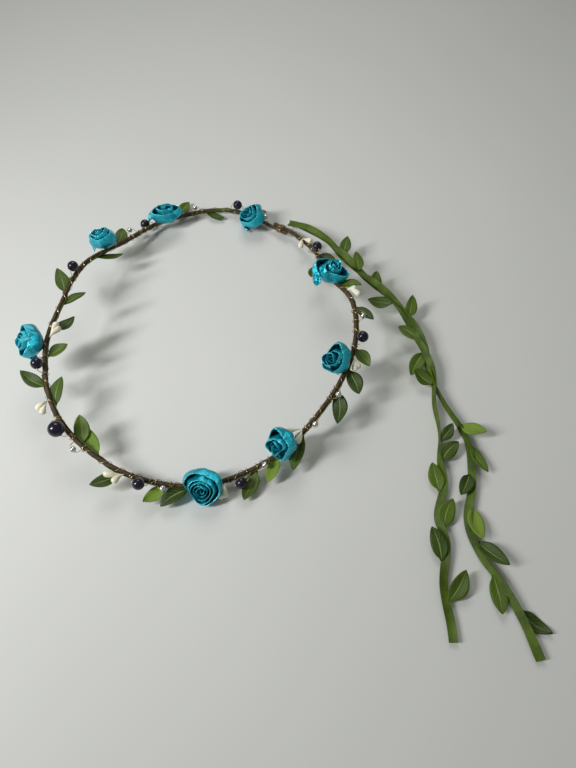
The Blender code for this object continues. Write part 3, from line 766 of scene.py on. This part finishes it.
# Turn, then (out, along, up) of the middle from the stem's centre line, then the pearls' diameters
PEARLS = (
    (228.4, (3.6, 0, 4.8), 8.0), (203, (2.6, 7.2, 4.4), 6.0), (164.6, (0.8, 0, 4.8), 6.0),
    (113, (5.6, 11.1, -0.8), 6.0), (83.5, (2.2, 0, 4.3), 6.0), (39.5, (0.9, 0, 4.8), 6.0),
    (343.0, (3.7, 0, 3.4), 6.0), (281.6, (5.2, 1, 2.0), 6.0), (254.6, (3.9, 0, 3.2), 6.0),
)
BEADS = (
    (228.4, (4.2, 11.5, 0.3)), (260.8, (3.2, 0, 2.0)), (290.2, (2.4, 0, 2.8)), (309.4, (3.0, 0, 2.2)),
    (321.2, (3.2, 0, 2.2)), (357, (4.2, -5.8, 0.0)), (72.0, (3.6, 0, 1.0)), (127.5, (4.8, 0, 1.6)),
    (100.0, (3.6, 0, 1.0)),
)

pearl, tree, shader = new_finish(
    "dark_purple_pearl", 0.22, Coat_Weight=0.4, Coat_Roughness=0.04, Specular_IOR_Level=0.25,
)
facing = node(tree, "ShaderNodeLayerWeight", [("Blend", 0.42)]).outputs["Facing"]
coords = node(tree, "ShaderNodeTexCoord").outputs["Object"]
nacre = ramp(tree, noise_of(tree, coords, 260, 2), (0.3, (0.006, 0.004, 0.014)), (0.7, (0.014, 0.009, 0.028)))
# Painted sheen: the pearl is painted a lighter purple towards its outline, where its surface turns away from
# the view.
rim = maths(tree, "POWER", facing, 4.0)
tree.links.new(mix(tree, rim, nacre, (0.035, 0.024, 0.060)), shader.inputs["Base Color"])
tree.links.new(
    maths(tree, "MULTIPLY_ADD", noise_of(tree, coords, 700), 0.1, 0.15), shader.inputs["Roughness"]
)

silver, tree, shader = new_finish("plated_silver_bead", 0.16, 1.0)
coords = node(tree, "ShaderNodeTexCoord").outputs["Object"]
tree.links.new(
    ramp(tree, noise_of(tree, coords, 600), (0.3, (0.58, 0.58, 0.57)), (0.6, (0.84, 0.84, 0.83))),
    shader.inputs["Base Color"],
)
tree.links.new(
    maths(tree, "MULTIPLY_ADD", noise_of(tree, coords, 900), 0.2, 0.08), shader.inputs["Roughness"]
)


BALL_STEPS = 28


def drilled_ball(name, place, radius, bore, finish, node_name, body):
    """Spins half a ball's outline about its bore, with softly rounded rims to the hole."""
    lip = bore / 2
    edge = math.asin((lip + 0.14) / radius)
    end = radius * math.cos(edge)
    profile = [(lip, -end * 0.86), (lip, end * 0.86), (lip + 0.02, end - 0.05)]
    for k in range(BALL_STEPS + 1):
        angle = edge + (math.pi - 2 * edge) * k / BALL_STEPS
        profile.append((radius * math.sin(angle), radius * math.cos(angle)))
    profile.append((lip + 0.02, -end + 0.05))
    bm = bmesh.new()
    verts = [bm.verts.new((far, 0, high)) for far, high in profile]
    edges = [bm.edges.new((a, b)) for a, b in zip(verts, verts[1:] + verts[:1])]
    bmesh.ops.spin(
        bm, geom=verts + edges, cent=(0, 0, 0), axis=(0, 0, 1), angle=math.tau, steps=48, use_merge=True
    )
    bmesh.ops.transform(bm, matrix=place, verts=bm.verts)
    return place_piece(name, bm, [finish], [node_name], body=body)


COIL_STEPS, BEAD_WIRE_STOPS = 20, 110


def bead_wire(name, turn, centre, radius, node_name):
    """Once round the stem, through the bead, and once round the stem again, ends tucked in."""
    out, on, up = centre
    far, aim = math.hypot(out, up), math.atan2(up, out)
    lift = radius + 2 * WIRE_ROOM + CLEARANCE
    at = from_join(turn, on)
    ring = TAPE_RADIUS + 0.50

    def round_stem(distance, angle):
        return stem_frame(distance) @ Vector((ring * math.cos(angle), 0, ring * math.sin(angle)))

    path = []
    for k in range(COIL_STEPS + 1):
        back = 1 - k / COIL_STEPS
        path.append(round_stem(at - lift - COIL_PITCH * back, aim - math.tau * back))
    bead = stem_frame(at)
    # Out beside the bead and into its bore: share of the way out, distance from its middle
    way_in = ((0.8, lift - 0.35), (0.97, lift - 0.9), (1.0, lift - 1.5))
    through = [(share, -on_way) for share, on_way in way_in] + [(1.0, 0.0), *reversed(way_in)]
    for share, on_way in through:
        reach = far * share
        path.append(bead @ Vector((reach * math.cos(aim), on_way, reach * math.sin(aim))))
    for k in range(COIL_STEPS + 1):
        on_turn = k / COIL_STEPS
        path.append(round_stem(at + lift + COIL_PITCH * on_turn, aim + math.tau * on_turn))
    smooth = Line(path)
    fine = [smooth.point(smooth.length * k / BEAD_WIRE_STOPS) for k in range(BEAD_WIRE_STOPS + 1)]
    bm = bmesh.new()
    draw_out(bm, wire_rings(fine, WIRE_RADIUS, 8))
    close_ends(bm)
    place_piece(name, bm, [gold], [node_name])


BORE_ALONG = Matrix.Rotation(-math.pi / 2, 4, "X")  # a ball's bore, turned to lie along the stem


def bead_place(turn, centre):
    out, on, up = centre
    return stem_frame(from_join(turn, on)) @ Matrix.Translation((out, 0, up)) @ BORE_ALONG


for number, (turn, centre, diameter) in enumerate(PEARLS, 1):
    own = f"pearl_{number}"
    drilled_ball(
        f"pearl_ball_{number}", bead_place(turn, centre), diameter / 2, PEARL_BORE, pearl,
        own, own,
    )
    bead_wire(f"pearl_gold_wire_{number}", turn, centre, diameter / 2, f"pearl_wire_{number}")
for number, (turn, centre) in enumerate(BEADS, 1):
    drilled_ball(
        f"silver_ball_{number}", bead_place(turn, centre), BEAD_DIAMETER / 2, BEAD_BORE, silver,
        f"silver_bead_{number}", "crown",
    )
    bead_wire(f"bead_gold_wire_{number}", turn, centre, BEAD_DIAMETER / 2, f"bead_wire_{number}")

# --- Stamens -------------------------------------------------------------------------------
# Double-headed craft stamens: a stiff thread folded round the stem, with a glossy cream bud
# dipped on each end.
BUD_RADIUS = 1.8
# Turn, the fold's place (out, up) at the stem, then each head's tip (out, along, up) from the fold
STAMENS = (
    (218.5, (1.2, 0.6), (6.2, 3.4, 0.6), (4.2, 6.6, 0.6)),
    (250, (1.0, 0.8), (6.2, -3.2, 0.2), (3.6, -9.4, 0.4)),
    (278.2, (1.2, 0.2), (7.4, -2.2, -1.2), (6.6, -5.4, -1.8)),
    (305.8, (-1.0, 1.0), (-4.6, -7.0, 2.2), (3.2, -7.4, 0.6)),
    (336, (1.2, 0.6), (4.6, -6.2, -0.2), (2.6, -8.6, 0.2)),
    (7.5, (0.8, 1.0), (4.2, -3.6, 1.6), (3.2, -9.4, 1.0)),
    (51, (0.2, 1.4), (2.0, -7.6, 0.6), (-6.4, -5.8, -0.6)),
    (197, (-1.2, 0.6), (-2.4, -9.2, 0.2), (-4.6, -7.0, -0.6)),
)

cream, tree, shader = new_finish(
    "stamen_cream_bud", 0.32, Coat_Weight=0.35, Coat_Roughness=0.15, Subsurface_Weight=0.12
)
shader.inputs["Subsurface Radius"].default_value = (0.002, 0.0015, 0.001)
coords = node(tree, "ShaderNodeTexCoord").outputs["Object"]
tree.links.new(
    ramp(tree, noise_of(tree, coords, 300), (0.3, (0.70, 0.66, 0.48)), (0.65, (0.90, 0.86, 0.70))),
    shader.inputs["Base Color"],
)
roughen(tree, shader, noise_of(tree, coords, 900, 4), 0.00008)

# A bud and its thread: share of the way in from the tip, and the share of the bud's radius there
BUD = (
    (0.0, 0.04), (0.015, 0.42), (0.05, 0.74), (0.11, 0.94), (0.19, 1.0), (0.30, 0.95), (0.42, 0.80),
    (0.54, 0.60), (0.66, 0.40), (0.77, 0.25), (0.87, 0.17), (0.96, 0.155),
)
for number, (turn, (out, up), *tips) in enumerate(STAMENS, 1):
    fold_at = Vector((out, 0, up))
    bm = bmesh.new()
    path, radii = [], []
    for way, tip in zip((-1, 1), tips):
        tip = Vector(tip)
        bow = Vector((0.5 * way, 0.4 * way, 0.7))
        for share, size in BUD if way < 0 else BUD[::-1]:
            arched = fold_at + tip * (1 - share) + bow * math.sin(math.pi * share)
            path.append(station(turn) @ arched)
            radii.append(max(size * BUD_RADIUS, 0.04))
    draw_out(bm, wire_rings(path, radii, 18))
    close_ends(bm)
    place_piece(f"stamen_buds_{number}", bm, [cream], [f"stamen_{number}"], detail=1)

# --- Tails ---------------------------------------------------------------------------------
# The vine's two long ends. They leave the join together, twisted round each other, then part
# and lie free on the table. Both are cut off bare.
TAIL_WIDTH, TAIL_THICKNESS = 4.0, 0.3
# Both follow the first route, then each its own
ROOT_ROUTE = (
    (45.5, 85.5, 4), (56, 78, 7), (72, 60, 10), (86, 37, 12), (97, 24, 12), (112, 6, 9),
    (121, -17, 7), (124, -38, 5),
)
ROUTES = (
    ((123, -53, 4.4), (124, -68, 2.5), (122, -84, 2.5), (122, -98, 2.5), (117, -114, 2.5),
     (119, -127, 2.5), (115, -146, 2.5), (116, -162, 2), (116, -170, 2)),
    ((129, -53, 3.6), (135, -66, 3), (138, -78, 2.5), (136, -98, 2.5), (131, -116, 2.5),
     (134, -132, 2.5), (142, -146, 2.5), (148, -161, 2), (152, -177, 2)),
)
ROOT_LENGTH = Line([Vector(knot) for knot in (*ROOT_ROUTE, ROUTES[0][0])]).length
# Leaves: distance along the tail, tip (right, along, up) from its root, width, back side up
TAIL_LEAVES = (
    ((50, -9, -10, 4, 7, 0), (68, -6, -11, 4, 7, 0), (110, -9, -12, 3, 7, 0), (155, 10, -9, 2, 8, 0),
     (22 + ROOT_LENGTH, -5, -9, 6, 6, 0), (33 + ROOT_LENGTH, -9, -10, 3, 8, 0),
     (50 + ROOT_LENGTH, 7, -14, 1, 8, 0), (69 + ROOT_LENGTH, -9, -12, 3, 8, 0),
     (85 + ROOT_LENGTH, 7, -15, 2, 8, 0), (103 + ROOT_LENGTH, -10, -13, 3, 8, 0)),
    ((98, 9, -12, -2, 8, 0), (126, 8, -13, -1, 8, 0), (134, 11, 12, -1, 8, 0), (84, -8, -10, 0, 7, 0),
     (15 + ROOT_LENGTH, -8, 9, 6, 8, 1), (27 + ROOT_LENGTH, -5, 15, 2, 6, 0),
     (43 + ROOT_LENGTH, 5, 12, 2, 7, 0), (60 + ROOT_LENGTH, -6, 15, 4, 8, 1),
     (78 + ROOT_LENGTH, -8, 14, 5, 8, 0), (94 + ROOT_LENGTH, 9, 14, 1, 8, 0),
     (112 + ROOT_LENGTH, -8, 12, 0, 7, 0)),
)
# How far the strip is turned about its own length, in degrees: (distance, turn)
ROLLS = (
    ((0, 0), (30, 60), (62, -30), (95, 50), (130, 10), (160, 70), (185, 88), (200, 60), (215, 12),
     (240, 28), (262, -12), (285, 10), (330, 0)),
    ((0, 30), (28, -40), (60, 40), (96, -50), (128, 30), (160, 84), (185, 70), (205, 35), (225, 15),
     (250, 60), (272, 48), (292, 12), (330, 5)),
)
# The two are twisted round each other with this pitch, this far from their middle, and draw
# together over the last stretch before they part
TWIST_PITCH, TWIST_REACH, TWIST_FADE = 62.0, 1.25, 34.0
TAIL_STEP = 1.6

tail_rng = random.Random(9)
for number, (route, tail_leaves, rolls) in enumerate(zip(ROUTES, TAIL_LEAVES, ROLLS), 1):
    line = Line([Vector(knot) for knot in (*ROOT_ROUTE, *route)])

    def lay(at):
        """The strip's place: twisted round the other tail up to where they part."""
        away = (1 - ease(at, ROOT_LENGTH - TWIST_FADE, ROOT_LENGTH)) * TWIST_REACH * ease(at, 0, 12)
        angle = math.tau * at / TWIST_PITCH + (math.pi if number == 2 else 0)
        aside = Vector((away * math.cos(angle), 0, away * math.sin(angle)))
        return line.frame(at) @ Matrix.Translation(aside)

    length = line.length
    steps = int(length / TAIL_STEP)
    rings, path = [], []
    for k in range(steps + 1):
        at = length * k / steps
        place = lay(at)
        turn = Matrix.Rotation(angle_at(rolls, at), 4, "Y")
        half = TAIL_WIDTH / 2 * (1 + 0.10 * noise.noise(Vector((at * 0.09, number * 5, 0))))
        sag = 0.35 * noise.noise(Vector((at * 0.05, 0, number * 3)))
        path.append(place.translation.copy())
        ring = []
        for face, spots in ((1, (-1, -0.5, 0, 0.5, 1)), (-1, (1, 0.5, 0, -0.5, -1))):
            for spot in spots:
                cup = 0.25 * (spot * spot - 0.5) * (1 + sag)
                ring.append(place @ turn @ Vector((spot * half, 0, cup + face * TAIL_THICKNESS / 2)))
        rings.append(ring)
    bm = bmesh.new()
    draw_out(bm, rings)
    close_ends(bm)
    tail = place_piece(
        f"vine_tail_{number}_strip", bm, [strip], [f"tail_{number}_root", f"tail_{number}"],
        body=None,
    )
    bm = bmesh.new()
    bm.loops.layers.uv.new("map")
    tint_layer = bm.verts.layers.float.new("tint")
    for at, out, on, up, width, flipped in tail_leaves:
        place, turn = lay(at), angle_at(rolls, at)
        side = math.copysign(1, out)
        edge = TAIL_WIDTH / 2 * abs(math.cos(turn)) * 0.75
        root = place @ Vector((side * edge, -0.8, side * math.sin(-turn) * 0.6))
        tip = place @ Vector((side * edge + out, on, up + 0.3))
        face_up = place.to_3x3() @ Vector((0.1 * side, 0, 1))
        add_leaf(bm, [tint_layer], root, tip, face_up, width, flipped, tail_rng.random(), tail_rng)
    leaves = place_piece(
        f"vine_tail_{number}_leaves", bm, [LEAF_FRONT, LEAF_BACK], body=None, shell=True
    )
    finish_leaves(leaves)
    for piece in (tail, leaves):
        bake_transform(piece)

# --- Table, light and camera ---------------------------------------------------------------
# A plain pale table, lit by a tall soft window at the left front and a broad light beyond it,
# and seen from above its front.
TABLE_HALF = 3.0
table, tree, shader = new_finish("pale_table", 0.7, Specular_IOR_Level=0.25)
coords = node(tree, "ShaderNodeTexCoord").outputs["Object"]
tree.links.new(
    ramp(
        tree, noise_of(tree, coords, 6, 2), (0.3, (0.640, 0.646, 0.628)), (0.7, (0.660, 0.666, 0.650))
    ),
    shader.inputs["Base Color"],
)
bm = bmesh.new()
bmesh.ops.create_grid(bm, x_segments=1, y_segments=1, size=TABLE_HALF)
mesh = bpy.data.meshes.new("table_top")
bm.to_mesh(mesh)
bm.free()
floor = bpy.data.objects.new("table_top", mesh)
mesh.materials.append(table)
bpy.context.scene.collection.objects.link(floor)

world = bpy.data.worlds.new("room")
bpy.context.scene.world = world
world.use_nodes = True
room_light = world.node_tree.nodes["Background"]
room_light.inputs["Color"].default_value = (0.98, 1.0, 0.93, 1)
room_light.inputs["Strength"].default_value = 0.21


LIT_SPOT = Vector((-0.06, -0.02, 0.0))


def add_light(name, towards, distance, size, power, colour, spread):
    """A soft box `towards` that way from the lit spot, its size (width, height) in metres."""
    data = bpy.data.lights.new(name, "AREA")
    data.shape, data.size, data.size_y = "RECTANGLE", size[0], size[1]
    data.energy, data.color, data.spread = power, colour, math.radians(spread)
    lamp = bpy.data.objects.new(name, data)
    way = Vector(towards).normalized()
    lamp.location = LIT_SPOT + way * distance
    lamp.rotation_euler = way.to_track_quat("Z", "Y").to_euler()
    bpy.context.scene.collection.objects.link(lamp)


add_light("tall_window", (-0.86, -0.42, 1.0), 0.80, (0.11, 0.36), 1.17, (1.0, 1.0, 1.0), 80)
add_light("ceiling", (0.0, 0.9, 1.0), 1.0, (0.5, 0.5), 1.15, (1.0, 1.0, 0.96), 120)

CAMERA_ELEVATION, CAMERA_DISTANCE = math.radians(58), 0.320
LOOK_AT = Vector((0.0482, -0.0355, 0.0))
camera_data = bpy.data.cameras.new("camera")
camera_data.lens, camera_data.sensor_width = 27.05, 36.0
camera_data.clip_start, camera_data.clip_end = 0.01, 20.0
camera = bpy.data.objects.new("camera", camera_data)
back = Vector((0, -math.cos(CAMERA_ELEVATION), math.sin(CAMERA_ELEVATION)))
camera.location = LOOK_AT + back * CAMERA_DISTANCE
camera.rotation_euler = back.to_track_quat("Z", "Y").to_euler()
bpy.context.scene.collection.objects.link(camera)
bpy.context.scene.camera = camera
bpy.context.scene.view_settings.view_transform = "Standard"
